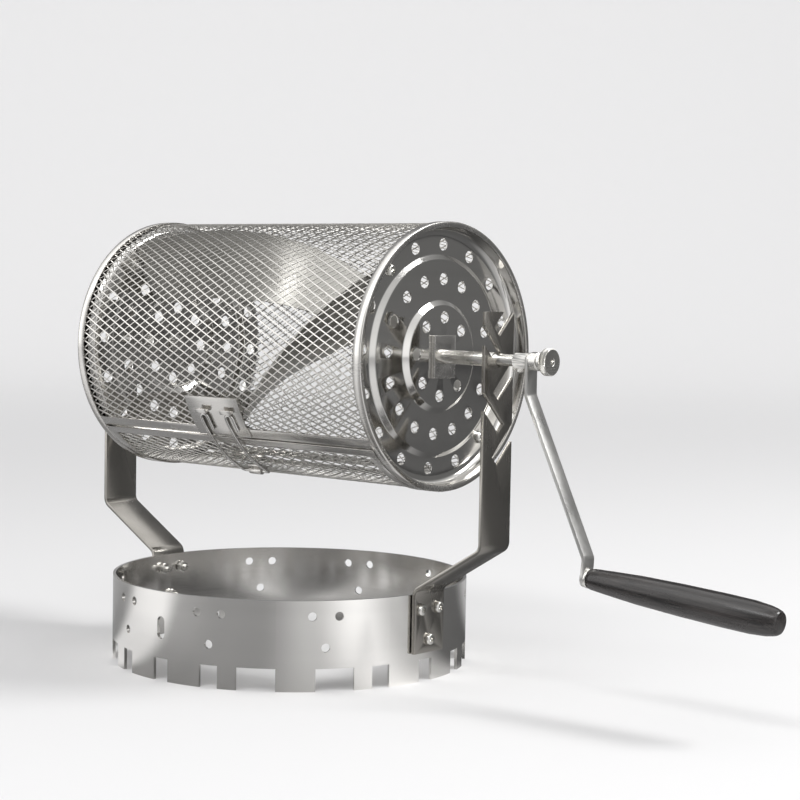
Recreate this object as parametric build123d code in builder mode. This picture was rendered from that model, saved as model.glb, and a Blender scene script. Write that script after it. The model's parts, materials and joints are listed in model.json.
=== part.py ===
"""Stovetop coffee bean roaster: a mesh drum turned by a hand crank over a gas ring.

Frame: +X runs along the drum's axle towards the crank, +Y to the back, +Z up.
The origin is on the axis of the base ring, at the level of the surface it stands on.
Angles round the drum are counted in degrees from straight up, through the back.
All sizes are in millimetres.
"""
from build123d import *
from math import cos, degrees, radians, sin, sqrt
import os

# ---------------------------------------------------------------- base ring
ring_radius = 91.0
ring_wall = 1.5
ring_height = 43.5
notch_height = 11.0
notch_unit = 6.0            # narrowest tooth or notch, in degrees round the ring
hole_groups = 10            # triangles of three holes round the wall
group_start = 18.0
hole_across = 4.3           # across the flats of the vent holes
vent_sides = 6              # the small vent holes are drawn with this many sides
hole_spacing = 13.0
hole_high = 36.0
hole_low = 21.0
vent_height = 11.0
vent_width = 5.0
vent_level = 26.0

# ---------------------------------------------------------------- bearing arms
arm_reach = 132.5           # outer face of each upright, from the ring's axis
arm_width = 22.0
arm_thick = 2.0
arm_bend = 5.0
arm_rise = 22.5             # top of the arms above the axle
arm_knee = 69.0             # level where the upright leans in
foot_bottom = 14.5
foot_knee = 45.5
foot_gap = 0.02             # flat foot to the round wall, at the line where they meet
slot_width = 6.0
slot_pitch = 15.3
slot_sides = (1, -1, 1, -1, 1)      # +1 opens to the back, -1 to the front, from the top down
axle_slot = 1                       # the slot that carries the axle
slot_reach = 26.0

# ---------------------------------------------------------------- axle line
axle_height = 159.0
journal_radius = 2.8
shaft_radius = 3.4
shoulder_gap = 0.4          # end play between a shoulder and the arm
collar_length = 6.0         # collar that ends the axle outside the left arm
bush_radius = 3.6
bush_clearance = 0.06
bush_offset = 9.7           # from the outer face of the arm to the bush
bush_play = 0.15            # to the crank
crank_offset = 17.5         # from the outer face of the arm to the crank
crank_width = 8.0
crank_thick = 1.8
seat_square = 4.2
seat_clearance = 0.04
screw_bore_radius = 1.55
screw_radius = 1.5
screw_length = 9.5
screw_bore_depth = 12.0

# ---------------------------------------------------------------- drum
drum_centre = 4.5           # the drum sits this far towards the crank
drum_length = 195.0
rim_radius = 65.0
rim_wall = 0.7
rim_width = 4.5
rim_lip = 2.6
fit_gap = 0.05              # between pieces of the drum that are clamped or welded together
overlap = 0.1               # how far the features of one piece run into each other
overlap_turn = 1.0          # the same in degrees round the drum
mesh_thick = 0.65
sheet = 0.8
dish_depths = (4.2, 6.4, 8.1)       # end plate below the rim: middle, step, outer ring
dish_steps = (26.0, 48.0)
step_slope = 1.0
dish_corner = 2.5           # slope between the dish's floor and its flange
step_shift = 0.27           # how far the inner side of each slope sits from its outer side
plate_hole = 6.0
plate_hole_turn = 4.5
inner_holes = (19.0, 8)     # ring radius and count
middle_holes = (37.5, 16)
outer_hole_margin = 10.8    # from the outer ring of holes to the rims' radius
outer_hole_count = 16
hub_wide = 16.0
hub_high = 20.6
hub_thick = 2.0
rivet_radius = 4.6
rivet_thick = 1.0

# mesh: diamonds cut through a many-sided sheet
strand = 2.0
diamond_length = 36.0
body_facets = 24
door_facets = 6
mesh_inset = 0.4            # degrees between a mesh and the edge that it is welded to
mesh_end_inset = 0.2        # the same at the ends of the door, in millimetres
cut_reach = 3.0             # how far the cutters stand out on both sides of the mesh

# door opening, angles round the drum
door_low = 160.1            # hinge side
door_high = 229.2           # latch side
door_play = 0.6             # degrees between door and body at the latch side
strip_width = 5.4
rail_width = 5.0
door_end_play = 0.4
lip_height = 0.6
lip_width = 0.9

# hinge
hinge_angle = 158.3
hinge_rise = 1.35           # the pins' line stands this far outside the rims
knuckle_radius = 2.0
pin_radius = 1.0
pin_clearance = 0.06
pin_proud = 0.8             # how far each hinge pin stands out of its knuckles
knuckle_length = 12.0
knuckle_gap = 0.5
hinge_spread = 66.5         # from the drum's middle to the outer hinges

# latch
bracket_low = 230.4
bracket_high = 250.0
bracket_x = (-16.0, 20.0)
hook_angle = 243.2
hook_height = 2.6
hook_width = 7.0
hook_reach = 2.2            # how far the hook's tip covers the wire
bail_x = (-7.5, 9.5)        # the two legs
bail_wire = 0.8
wire_sides = 6              # the wire is drawn with this many sides
bail_gap = 0.35
bail_low = 204.0
hairpin_radius = 2.4
hairpin_tail = 7.0
bail_rest = 0.3             # wire to the hook above it
lug_length = 8.0
lug_clearance = 0.1
lug_wall = 0.8
lug_sink = 0.4              # how far the lug's tube sits in its foot

# vanes
vane_inner = 25.0
vane_margin = 4.2           # from the vanes' outer edges to the rims' radius
vane_thick = 1.0
vane_turn = 166.0
vane_sections = 12
vane_end_gap = 0.3
vane_side = 7.0             # degrees from the blade to its bolt
vane_bolt_angle = 139.5
tab_high = 11.0
tab_margin = 5.5

# ---------------------------------------------------------------- crank and handle
crease_drop = 15.5          # below the axle, where the crank leans out
elbow_drop = 88.5           # below the axle, where the crank turns to the handle
elbow_reach = 35.5          # from the crank's seat out to that turn
crank_bend = 5.0
handle_drop = 97.5          # below the axle, where the handle's axis crosses the crank
handle_droop = 4.7          # degrees that the handle's axis dips outwards
crank_end_margin = 4.4      # radius of the crank's rounded end
tab_overrun = 0.5           # how far the strip runs past the handle's axis inside that end
grip_length = 98.0
grip_shape = ((0, 4.6), (16, 5.4), (34, 6.4), (54, 7.1), (74, 7.5), (88, 7.2), (94, 6.5), (grip_length, 5.0))
spindle_radius = 1.5
spindle_clearance = 0.08
spindle_depth = 84.0
bore_spare = 1.0            # room beyond the end of the spindle
washer_radius = 4.6
washer_thick = 1.4
washer_gap = 0.2
rivet_head_radius = 3.2
rivet_head_thick = 1.8

# thumb screw
neck_radius = 4.4
neck_length = 7.4
groove_depth = 0.7
groove_marks = (0.55, 0.6, 0.75, 0.8)       # where the neck's groove starts, is deep and ends, as shares
slot_hole_radius = 0.8
slot_hole_depth = 3.0
knob_radius = 6.5
knob_thick = 3.8
knob_chamfer = 0.5
clamp_gap = 0.05

# fasteners
bolt_radius = 1.5
bolt_hole = 3.4
head_radius = 2.8
head_thick = 2.1
head_round = 0.8
nut_across = 5.5
nut_thick = 2.4
seat_gap = 0.02
arm_bolt_length = 9.0
vane_bolt_length = 6.5

os.makedirs("parts", exist_ok=True)

AXLE = (0, 0, axle_height)
TURN = Axis(AXLE, (-1, 0, 0))       # the way in which the angle round the drum grows
arm_top = axle_height + arm_rise
bush_start = arm_reach + bush_offset
crank_seat = arm_reach + crank_offset
crank_crease = axle_height - crease_drop
crank_elbow_x = crank_seat + elbow_reach
crank_elbow_z = axle_height - elbow_drop
handle_level = axle_height - handle_drop
rim_left = drum_centre - drum_length / 2
rim_right = drum_centre + drum_length / 2
mesh_outer = rim_radius - rim_wall - 2 * fit_gap
mesh_inner = mesh_outer - mesh_thick
strip_inner = mesh_outer + fit_gap
strip_outer = rim_radius
hinge_radius = rim_radius + hinge_rise
vane_outer = rim_radius - vane_margin
vane_bolt_ring = rim_radius - outer_hole_margin
hole_rings = (inner_holes, middle_holes, (vane_bolt_ring, outer_hole_count))
body_low = door_high + door_play
body_high = hinge_angle - degrees(knuckle_radius / hinge_radius) + 360


def spot(radius, angle, x=0.0):
    """Point at a radius and an angle round the drum."""
    return (x, radius * sin(radians(angle)), axle_height + radius * cos(radians(angle)))


def outward(angle):
    """Unit vector away from the axle at an angle round the drum."""
    return (0, sin(radians(angle)), cos(radians(angle)))


def station(angle):
    """Plane through the axle: local x runs along it, local y outwards at this angle."""
    return Plane(origin=AXLE, x_dir=(1, 0, 0), z_dir=(0, -cos(radians(angle)), sin(radians(angle))))


def facing(angle, radius=0.0):
    """Plane square to the radius at this angle: local x along the axle, local y round the drum."""
    return Plane(origin=spot(radius, angle), x_dir=(1, 0, 0), z_dir=outward(angle))


def arc_degrees(length, radius):
    """Angle that a length takes at a radius."""
    return degrees(length / radius)


def save(part, name):
    """Label a finished piece and write it."""
    part.part.label = name
    export_step(part.part, f"parts/{name}.step")


def sector(low, high, x_low, x_high, r_low, r_high, mode=Mode.ADD):
    """Curved plate between two angles, inside the part that is being built."""
    with BuildSketch(station(low)) as section:
        with Locations(((x_low + x_high) / 2, (r_low + r_high) / 2)):
            Rectangle(x_high - x_low, r_high - r_low)
    revolve(section.sketch, axis=TURN, revolution_arc=high - low, mode=mode)


# ================================================================ base ring
def wall_plane(angle, level):
    """Plane square to the ring's wall: the angle is counted from the front towards the crank."""
    side = radians(angle)
    return Plane(origin=(ring_radius * sin(side), -ring_radius * cos(side), level),
                 x_dir=(cos(side), sin(side), 0), z_dir=(sin(side), -cos(side), 0))


# notch centres and widths in one quarter of the ring, in notch units
quarter_notches = ((0, 1), (3, 1), (5.5, 2), (9.5, 2), (12, 1))

with BuildPart() as base_ring:
    with BuildSketch():
        Circle(ring_radius)
        Circle(ring_radius - ring_wall, mode=Mode.SUBTRACT)
    extrude(amount=ring_height)
    with BuildSketch():
        for quarter in range(4):
            for centre, width in quarter_notches:
                middle = quarter * 90 + centre * notch_unit
                half = width * notch_unit / 2
                near, far = ring_radius - 3 * ring_wall, ring_radius + 3 * ring_wall
                with BuildLine():
                    Polyline(*[(r * sin(radians(middle + turn)), -r * cos(radians(middle + turn)))
                               for r, turn in ((near, -half), (far, -half), (far, half), (near, half))],
                             close=True)
                make_face()
    extrude(amount=notch_height, mode=Mode.SUBTRACT)
    for group in range(hole_groups):
        with BuildSketch(wall_plane(group_start + 360 / hole_groups * group, 0)):
            with Locations((-hole_spacing / 2, hole_high), (hole_spacing / 2, hole_high), (0, hole_low)):
                RegularPolygon(hole_across / 2, vent_sides, major_radius=False)
        extrude(amount=-4 * ring_wall, mode=Mode.SUBTRACT)
    with BuildSketch(wall_plane(0, vent_level)):
        SlotOverall(vent_height, vent_width, rotation=90)
    extrude(amount=-4 * ring_wall, mode=Mode.SUBTRACT)
save(base_ring, "base_ring")


# ================================================================ bearing arms
foot_middle = ring_radius + foot_gap + arm_thick / 2
upright_middle = arm_reach - arm_thick / 2
bolt_spots = ((-hole_spacing / 2, hole_high), (hole_spacing / 2, hole_high), (0, hole_low))


def slot_level(index):
    """Height of the seat of one slot."""
    return axle_height + (axle_slot - index) * slot_pitch


def build_arm(side):
    """Bent strip from the ring's wall up to the slotted head; side is +1 at the crank."""
    with BuildPart() as arm:
        with BuildLine():
            FilletPolyline((side * foot_middle, 0, foot_bottom), (side * foot_middle, 0, foot_knee),
                           (side * upright_middle, 0, arm_knee), (side * upright_middle, 0, arm_top),
                           radius=arm_bend)
        with BuildSketch(Plane.XY.offset(foot_bottom)):
            with Locations((side * foot_middle, 0)):
                Rectangle(arm_thick, arm_width)
        sweep()
        with BuildSketch(Plane.YZ.offset(side * upright_middle)):
            for index, way in enumerate(slot_sides):
                reach = (slot_reach - slot_width) / 2
                centre = (way * reach * cos(radians(45)), slot_level(index) + reach * sin(radians(45)))
                with Locations(centre):
                    Rectangle(slot_reach, slot_width, rotation=way * 45)
        extrude(amount=arm_thick, both=True, mode=Mode.SUBTRACT)
        with BuildSketch(Plane.YZ.offset(side * foot_middle)):
            with Locations(*bolt_spots):
                Circle(bolt_hole / 2)
        extrude(amount=arm_thick, both=True, mode=Mode.SUBTRACT)
    return arm


save(build_arm(1), "right_arm")
save(build_arm(-1), "left_arm")


# ================================================================ fasteners
def bolt(place, length):
    """Pan head screw: the plane's origin is under the head and its normal leaves the head."""
    with BuildSketch(Plane(origin=place.origin, x_dir=place.z_dir, z_dir=place.x_dir)) as half:
        with BuildLine():
            Polyline((-length, 0), (-length, bolt_radius), (0, bolt_radius), (0, head_radius),
                     (head_thick, head_radius - head_round), (head_thick, 0), close=True)
        make_face()
    revolve(half.sketch, axis=Axis(place.origin, place.z_dir))


def nut(place):
    """Hexagon nut on a plane, growing along its normal, with a clear hole for its screw."""
    with BuildSketch(place) as hexagon:
        RegularPolygon(nut_across / 2, 6, major_radius=False)
        Circle(bolt_radius + seat_gap, mode=Mode.SUBTRACT)
    extrude(hexagon.sketch, amount=nut_thick)


def nut_seat(offset):
    """Where a flat nut meets the hollow side of the ring's wall, at this distance from its middle."""
    edge = abs(offset) + nut_across / sqrt(3)
    return sqrt((ring_radius - ring_wall) ** 2 - edge ** 2) - seat_gap


with BuildPart() as arm_bolts:
    for side in (1, -1):
        for across, level in bolt_spots:
            head_face = side * (foot_middle + arm_thick / 2 + seat_gap)
            bolt(Plane(origin=(head_face, across, level), x_dir=(0, 0, 1), z_dir=(side, 0, 0)),
                 arm_bolt_length)
save(arm_bolts, "arm_bolts")

with BuildPart() as arm_nuts:
    for side in (1, -1):
        for across, level in bolt_spots:
            nut(Plane(origin=(side * nut_seat(across), across, level), x_dir=(0, 0, 1), z_dir=(-side, 0, 0)))
save(arm_nuts, "arm_nuts")


# ================================================================ drum shell
def diamond_mesh(low, high, facets, x_low, x_high):
    """Many-sided curved sheet with a diamond lattice cut through it, inside the current part."""
    step = (high - low) / facets
    turns = [low + step * index for index in range(facets + 1)]
    with BuildSketch(Plane.YZ.offset(x_low)) as shell:
        with BuildLine():
            outline = [spot(mesh_outer, turn)[1:] for turn in turns]
            outline += [spot(mesh_inner, turn)[1:] for turn in reversed(turns)]
            Polyline(*outline, close=True)
        make_face()
    extrude(shell.sketch, amount=x_high - x_low)
    half_height = mesh_outer * sin(radians(step)) - strand
    half_length = diamond_length / 2 - strand
    columns = int((x_high - x_low - 2 * strand) / diamond_length)
    middle = (x_low + x_high) / 2
    for row, angle in enumerate(turns[1:-1]):
        count = columns if row % 2 else columns - 1
        with BuildSketch(facing(angle, mesh_inner - cut_reach)) as diamonds:
            with Locations((middle, 0)):
                with GridLocations(diamond_length, 1, count, 1):
                    Polygon((-half_length, 0), (0, -half_height), (half_length, 0), (0, half_height))
        extrude(diamonds.sketch, amount=mesh_thick + 2 * cut_reach, mode=Mode.SUBTRACT)


with BuildPart() as drum_mesh:
    diamond_mesh(body_low + mesh_inset, body_high, body_facets, rim_left + rim_wall + fit_gap,
                 rim_right - rim_wall - fit_gap)
save(drum_mesh, "drum_mesh")

strip_left = rim_left + rim_width + fit_gap
strip_right = rim_right - rim_width - fit_gap

with BuildPart() as front_strip:
    sector(body_low, body_low + arc_degrees(strip_width, rim_radius), strip_left, strip_right,
           strip_inner, strip_outer)
save(front_strip, "front_strip")


def build_rim(side):
    """Rolled hoop that holds the mesh on the flange of the end plate; side is +1 at the crank."""
    edge = rim_right if side > 0 else rim_left
    with BuildPart() as rim:
        with BuildSketch(station(0)):
            with BuildLine():
                Polyline((edge, rim_radius), (edge - side * rim_width, rim_radius),
                         (edge - side * rim_width, rim_radius - rim_wall),
                         (edge - side * rim_wall, rim_radius - rim_wall),
                         (edge, rim_radius - rim_lip), close=True)
            make_face()
        revolve(axis=TURN)
    return rim


save(build_rim(1), "right_rim")
save(build_rim(-1), "left_rim")


# ================================================================ end plates
flange_outer = mesh_inner * cos(radians(180 / body_facets)) - 2 * fit_gap
flange_inner = flange_outer - sheet
bolt_turns = (vane_bolt_angle, vane_bolt_angle + 180)


def build_end_plate(side):
    """Pressed dish with two steps, a flange to the rim and three rings of holes."""
    edge = rim_right if side > 0 else rim_left
    middle, step, outer = dish_depths

    def at(depth, radius):
        return (edge - side * depth, radius)

    with BuildPart() as plate:
        with BuildSketch(station(0)):
            with BuildLine():
                Polyline(
                    at(middle, shaft_radius + fit_gap), at(middle, dish_steps[0] - step_slope),
                    at(step, dish_steps[0] + step_slope), at(step, dish_steps[1] - step_slope),
                    at(outer, dish_steps[1] + step_slope), at(outer, flange_inner - dish_corner),
                    at(outer - dish_corner, flange_inner), at(rim_wall + fit_gap, flange_inner),
                    at(rim_wall + fit_gap, flange_outer), at(outer - dish_corner, flange_outer),
                    at(outer + sheet, flange_outer - dish_corner - sheet),
                    at(outer + sheet, dish_steps[1] + step_slope - step_shift),
                    at(step + sheet, dish_steps[1] - step_slope - step_shift),
                    at(step + sheet, dish_steps[0] + step_slope - step_shift),
                    at(middle + sheet, dish_steps[0] - step_slope - step_shift),
                    at(middle + sheet, shaft_radius + fit_gap), close=True)
            make_face()
        revolve(axis=TURN)
        with BuildSketch(Plane.YZ.offset(edge - side * (outer + 2 * sheet))):
            with Locations((0, axle_height)):
                for radius, count in hole_rings:
                    for index in range(count):
                        turn = plate_hole_turn + 360 / count * index
                        bolted = radius == vane_bolt_ring and round(turn, 3) in bolt_turns
                        with Locations((radius * sin(radians(turn)), radius * cos(radians(turn)))):
                            RegularPolygon((bolt_hole if bolted else plate_hole) / 2, vent_sides,
                                           major_radius=False)
        extrude(amount=side * outer, mode=Mode.SUBTRACT)
    return plate


save(build_end_plate(1), "right_end_plate")
save(build_end_plate(-1), "left_end_plate")


def hub_face(side):
    """Outer face of the end plate's middle."""
    return (rim_right if side > 0 else rim_left) - side * dish_depths[0]


def build_hub(side):
    """Square plate that stiffens the middle of the end plate round the axle."""
    with BuildPart() as hub:
        with BuildSketch(Plane.YZ.offset(hub_face(side))):
            with Locations((0, axle_height)):
                Rectangle(hub_wide, hub_high)
                Circle(shaft_radius + fit_gap, mode=Mode.SUBTRACT)
        extrude(amount=side * hub_thick)
    return hub


save(build_hub(1), "right_hub_plate")
save(build_hub(-1), "left_hub_plate")

# ================================================================ axles
arm_inner = arm_reach - arm_thick
left_collar = arm_reach + shoulder_gap
left_end = left_collar + collar_length


def axle_profile(side, points):
    """Solid turned about the axle from (distance, radius) points, inside the current part."""
    with BuildSketch(station(0)) as half:
        with BuildLine():
            Polyline(*[(side * distance, radius) for distance, radius in points], close=True)
        make_face()
    revolve(half.sketch, axis=TURN)


def axle_root(side):
    """Start of an axle: its rivet head behind the end plate and its body through the plate."""
    face = side * hub_face(side)
    back = face - sheet - fit_gap
    return [(back - rivet_thick, 0), (back - rivet_thick, rivet_radius), (back, rivet_radius),
            (back, shaft_radius), (arm_inner - shoulder_gap, shaft_radius),
            (arm_inner - shoulder_gap, journal_radius)]


with BuildPart() as crank_axle:
    axle_profile(1, axle_root(1) + [(crank_seat, journal_radius), (crank_seat, 0)])
    with BuildSketch(Plane.YZ.offset(crank_seat)):
        with Locations((0, axle_height)):
            Rectangle(seat_square, seat_square)
    extrude(amount=crank_thick - clamp_gap)
    with Locations(Plane.YZ.offset(crank_seat + crank_thick - clamp_gap)):
        with Locations((0, axle_height)):
            Hole(screw_bore_radius, screw_bore_depth)
save(crank_axle, "crank_axle")

with BuildPart() as idle_axle:
    axle_profile(-1, axle_root(-1) + [(left_collar, journal_radius), (left_collar, shaft_radius),
                                      (left_end, shaft_radius), (left_end, 0)])
save(idle_axle, "idle_axle")

with BuildPart() as spacer_bush:
    with BuildSketch(Plane.YZ.offset(bush_start)):
        with Locations((0, axle_height)):
            Circle(bush_radius)
            Circle(journal_radius + bush_clearance, mode=Mode.SUBTRACT)
    extrude(amount=crank_seat - bush_start - bush_play)
save(spacer_bush, "spacer_bush")


# ================================================================ stirring vanes
vane_left = rim_left + dish_depths[2] + sheet + vane_end_gap
vane_right = rim_right - dish_depths[2] - sheet - vane_end_gap


def build_vane(turned):
    """Twisted blade from end plate to end plate, with a bolted tab at each end."""
    start = vane_bolt_angle + vane_side + turned
    with BuildPart() as vane:
        for index in range(vane_sections):
            share = index / (vane_sections - 1)
            angle = start + vane_turn * share
            x = vane_left + (vane_right - vane_left) * share
            with BuildSketch(Plane(origin=(x, 0, axle_height), x_dir=outward(angle), z_dir=(1, 0, 0))):
                with Locations(((vane_inner + vane_outer) / 2, 0)):
                    Rectangle(vane_outer - vane_inner, vane_thick)
        loft(ruled=True)
        for end, x, way in ((start, vane_left, 1), (start + vane_turn, vane_right, -1)):
            reach = vane_bolt_ring * radians(vane_side) + tab_margin
            bolt_side = end - way * vane_side
            face = x - way * (vane_end_gap - seat_gap)
            with BuildSketch(Plane(origin=(face, 0, axle_height), x_dir=outward(end), z_dir=(1, 0, 0))):
                with Locations((vane_bolt_ring, way * (vane_thick - reach) / 2)):
                    Rectangle(tab_high, reach)
            extrude(amount=way * vane_thick)
            with BuildSketch(Plane.YZ.offset(face)):
                with Locations((vane_bolt_ring * sin(radians(bolt_side)),
                                axle_height + vane_bolt_ring * cos(radians(bolt_side)))):
                    Circle(bolt_hole / 2)
            extrude(amount=way * 3 * vane_thick, mode=Mode.SUBTRACT)
    return vane


save(build_vane(0), "front_vane")
save(build_vane(180), "back_vane")

plate_faces = {1: rim_right - dish_depths[2], -1: rim_left + dish_depths[2]}

with BuildPart() as vane_bolts:
    for side in (1, -1):
        for angle in bolt_turns:
            x, y, z = spot(vane_bolt_ring, angle, plate_faces[side] + side * seat_gap)
            bolt(Plane(origin=(x, y, z), x_dir=(0, 0, 1), z_dir=(side, 0, 0)), vane_bolt_length)
save(vane_bolts, "vane_bolts")

with BuildPart() as vane_nuts:
    for side in (1, -1):
        for angle in bolt_turns:
            depth = sheet + vane_thick + 3 * seat_gap
            x, y, z = spot(vane_bolt_ring, angle, plate_faces[side] - side * depth)
            nut(Plane(origin=(x, y, z), x_dir=(0, 0, 1), z_dir=(-side, 0, 0)))
save(vane_nuts, "vane_nuts")

# ================================================================ door hinge
hinge_spot = spot(hinge_radius, hinge_angle)
hinge_stations = (drum_centre - hinge_spread, drum_centre + hinge_spread)


def knuckles(centres, length):
    """Row of hinge tubes on the pin's line, inside the current part."""
    for centre in centres:
        with BuildSketch(Plane.YZ.offset(centre - length / 2)) as tube:
            with Locations(hinge_spot[1:]):
                Circle(knuckle_radius)
        extrude(tube.sketch, amount=length)


def pin_hole(x_low, x_high):
    """Cuts the pin's bore through the current part."""
    with BuildSketch(Plane.YZ.offset(x_low)) as bore:
        with Locations(hinge_spot[1:]):
            Circle(pin_radius + pin_clearance)
    extrude(bore.sketch, amount=x_high - x_low, mode=Mode.SUBTRACT)


door_knuckles = [centre + way * (knuckle_length + knuckle_gap)
                 for centre in hinge_stations for way in (-1, 1)]

with BuildPart() as hinge_strip:
    sector(body_high - 360 - arc_degrees(strip_width, rim_radius), body_high - 360, strip_left, strip_right,
           strip_inner, strip_outer)
    for centre in hinge_stations:
        sector(body_high - 360 - overlap_turn, hinge_angle, centre - knuckle_length / 2,
               centre + knuckle_length / 2, strip_inner, strip_outer)
    knuckles(hinge_stations, knuckle_length)
    pin_hole(rim_left, rim_right)
save(hinge_strip, "hinge_strip")

with BuildPart() as hinge_pins:
    for centre in hinge_stations:
        half_pin = 3 * knuckle_length / 2 + knuckle_gap + pin_proud
        with BuildSketch(Plane.YZ.offset(centre - half_pin)):
            with Locations(hinge_spot[1:]):
                Circle(pin_radius)
        extrude(amount=2 * half_pin)
save(hinge_pins, "hinge_pins")

# ================================================================ door
door_left = strip_left + door_end_play
door_right = strip_right - door_end_play

with BuildPart() as door_frame:
    sector(door_low, door_high, door_left, door_right, strip_inner, strip_outer)
    rail_turn = arc_degrees(rail_width, rim_radius)
    sector(door_low + rail_turn, door_high - rail_turn, door_left + rail_width, door_right - rail_width,
           strip_inner - cut_reach, strip_outer + cut_reach, mode=Mode.SUBTRACT)
    sector(door_high - arc_degrees(lip_width, rim_radius), door_high, door_left, door_right,
           strip_outer - overlap, strip_outer + lip_height)
    for centre in door_knuckles:
        sector(hinge_angle, door_low + overlap_turn, centre - knuckle_length / 2, centre + knuckle_length / 2,
               strip_inner, strip_outer)
    knuckles(door_knuckles, knuckle_length)
    pin_hole(rim_left, rim_right)
save(door_frame, "door_frame")

with BuildPart() as door_mesh:
    diamond_mesh(door_low + mesh_inset, door_high - mesh_inset, door_facets, door_left + mesh_end_inset,
                 door_right - mesh_end_inset)
save(door_mesh, "door_mesh")

# ================================================================ latch
bail_ring = strip_outer + lip_height + bail_gap + bail_wire
bracket_inner = strip_outer + fit_gap
bracket_outer = bracket_inner + sheet

with BuildPart() as latch_bracket:
    sector(bracket_low, bracket_high, *bracket_x, bracket_inner, bracket_outer)
    for leg in bail_x:
        centre = leg + hairpin_radius
        sector(hook_angle, hook_angle + arc_degrees(sheet, rim_radius), centre - hook_width / 2,
               centre + hook_width / 2, bracket_outer - overlap, bracket_outer + hook_height)
        sector(hook_angle, hook_angle + arc_degrees(hook_reach, rim_radius), centre - hook_width / 2,
               centre + hook_width / 2, bracket_outer + hook_height - sheet, bracket_outer + hook_height)
save(latch_bracket, "latch_bracket")

wire_top = hook_angle - arc_degrees(bail_rest + bail_wire + hairpin_radius, bail_ring)


def wire_leg(x, low, high):
    """Stretch of wire round the drum, inside the current part."""
    with BuildSketch(station(low)) as wire:
        with Locations((x, bail_ring)):
            RegularPolygon(bail_wire, wire_sides)
    revolve(wire.sketch, axis=TURN, revolution_arc=high - low)


with BuildPart() as latch_bail:
    for leg in bail_x:
        wire_leg(leg, bail_low - arc_degrees(bail_wire, bail_ring), wire_top)
        wire_leg(leg + 2 * hairpin_radius, wire_top - arc_degrees(hairpin_tail, bail_ring), wire_top)
        with BuildSketch(station(wire_top)):
            with Locations((leg, bail_ring)):
                RegularPolygon(bail_wire, wire_sides)
        turning = Axis(spot(bail_ring, wire_top, leg + hairpin_radius), outward(wire_top))
        revolve(axis=turning, revolution_arc=-180)
    with BuildSketch(Plane(origin=spot(bail_ring, bail_low, bail_x[0]), x_dir=(0, 1, 0), z_dir=(1, 0, 0))):
        RegularPolygon(bail_wire, wire_sides)
    extrude(amount=bail_x[1] - bail_x[0])
save(latch_bail, "latch_bail")

lug_middle = sum(bail_x) / 2
lug_outer = bail_wire + lug_clearance + lug_wall
lug_turn = arc_degrees(lug_outer, bail_ring)

with BuildPart() as bail_lug:
    sector(bail_low - 2 * lug_turn, bail_low + 2 * lug_turn, lug_middle - lug_length / 2,
           lug_middle + lug_length / 2, strip_inner, bail_ring - lug_outer + lug_sink)
    with BuildSketch(Plane(origin=spot(bail_ring, bail_low, lug_middle - lug_length / 2), x_dir=(0, 1, 0),
                           z_dir=(1, 0, 0))):
        Circle(lug_outer)
    extrude(amount=lug_length)
    with BuildSketch(Plane(origin=spot(bail_ring, bail_low, lug_middle - lug_length), x_dir=(0, 1, 0),
                           z_dir=(1, 0, 0))):
        Circle(bail_wire + lug_clearance)
    extrude(amount=2 * lug_length, mode=Mode.SUBTRACT)
save(bail_lug, "bail_lug")

# ================================================================ crank arm
dip = radians(handle_droop)
handle_way = Vector(cos(dip), 0, -sin(dip))
tab_way = Vector(-sin(dip), 0, -cos(dip))
crank_middle = crank_seat + crank_thick / 2
elbow = Vector(crank_elbow_x, 0, crank_elbow_z)
tab_length = (crank_elbow_z - handle_level) / cos(dip)
handle_point = elbow + tab_way * tab_length        # where the handle's axis crosses the crank

with BuildPart() as crank_arm:
    with BuildLine():
        FilletPolyline((crank_middle, 0, axle_height), (crank_middle, 0, crank_crease), tuple(elbow),
                       tuple(handle_point + tab_way * tab_overrun), radius=crank_bend)
    with BuildSketch(Plane.XY.offset(axle_height)):
        with Locations((crank_middle, 0)):
            Rectangle(crank_thick, crank_width)
    sweep()
    with BuildSketch(Plane.YZ.offset(crank_seat)):
        with Locations((0, axle_height)):
            Circle(crank_width / 2)
    extrude(amount=crank_thick)
    tab_plane = Plane(origin=handle_point - handle_way * (crank_thick / 2), x_dir=(0, 1, 0), z_dir=handle_way)
    with BuildSketch(tab_plane):
        Circle(crank_end_margin)
    extrude(amount=crank_thick)
    with BuildSketch(tab_plane):
        Circle(spindle_radius + fit_gap)
    extrude(amount=crank_thick * 2, both=True, mode=Mode.SUBTRACT)
    with BuildSketch(Plane.YZ.offset(crank_seat)):
        with Locations((0, axle_height)):
            Rectangle(seat_square + 2 * seat_clearance, seat_square + 2 * seat_clearance)
    extrude(amount=crank_thick * 2, both=True, mode=Mode.SUBTRACT)
save(crank_arm, "crank_arm")


# ================================================================ handle
def handle_plane(distance):
    """Plane through the handle's axis: local x runs out along it, from the crank's outer face."""
    origin = handle_point + handle_way * (crank_thick / 2 + distance)
    return Plane(origin=origin, x_dir=handle_way, z_dir=(0, -1, 0))


HANDLE = Axis(handle_point, handle_way)
grip_start = seat_gap + washer_thick + washer_gap

with BuildPart() as handle_spindle:
    with BuildSketch(handle_plane(0)):
        with BuildLine():
            inner = -crank_thick - seat_gap
            far = grip_start + spindle_depth
            Polyline((inner, rivet_head_radius), (inner, spindle_radius), (far, spindle_radius), (far, 0),
                     (inner - rivet_head_thick, 0), (inner - rivet_head_thick, rivet_head_radius / 2),
                     close=True)
        make_face()
    revolve(axis=HANDLE)
save(handle_spindle, "handle_spindle")

with BuildPart() as handle_washer:
    with BuildSketch(Plane(origin=handle_plane(seat_gap).origin, x_dir=(0, 1, 0), z_dir=handle_way)):
        Circle(washer_radius)
        Circle(spindle_radius + fit_gap, mode=Mode.SUBTRACT)
    extrude(amount=washer_thick)
save(handle_washer, "handle_washer")

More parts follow.
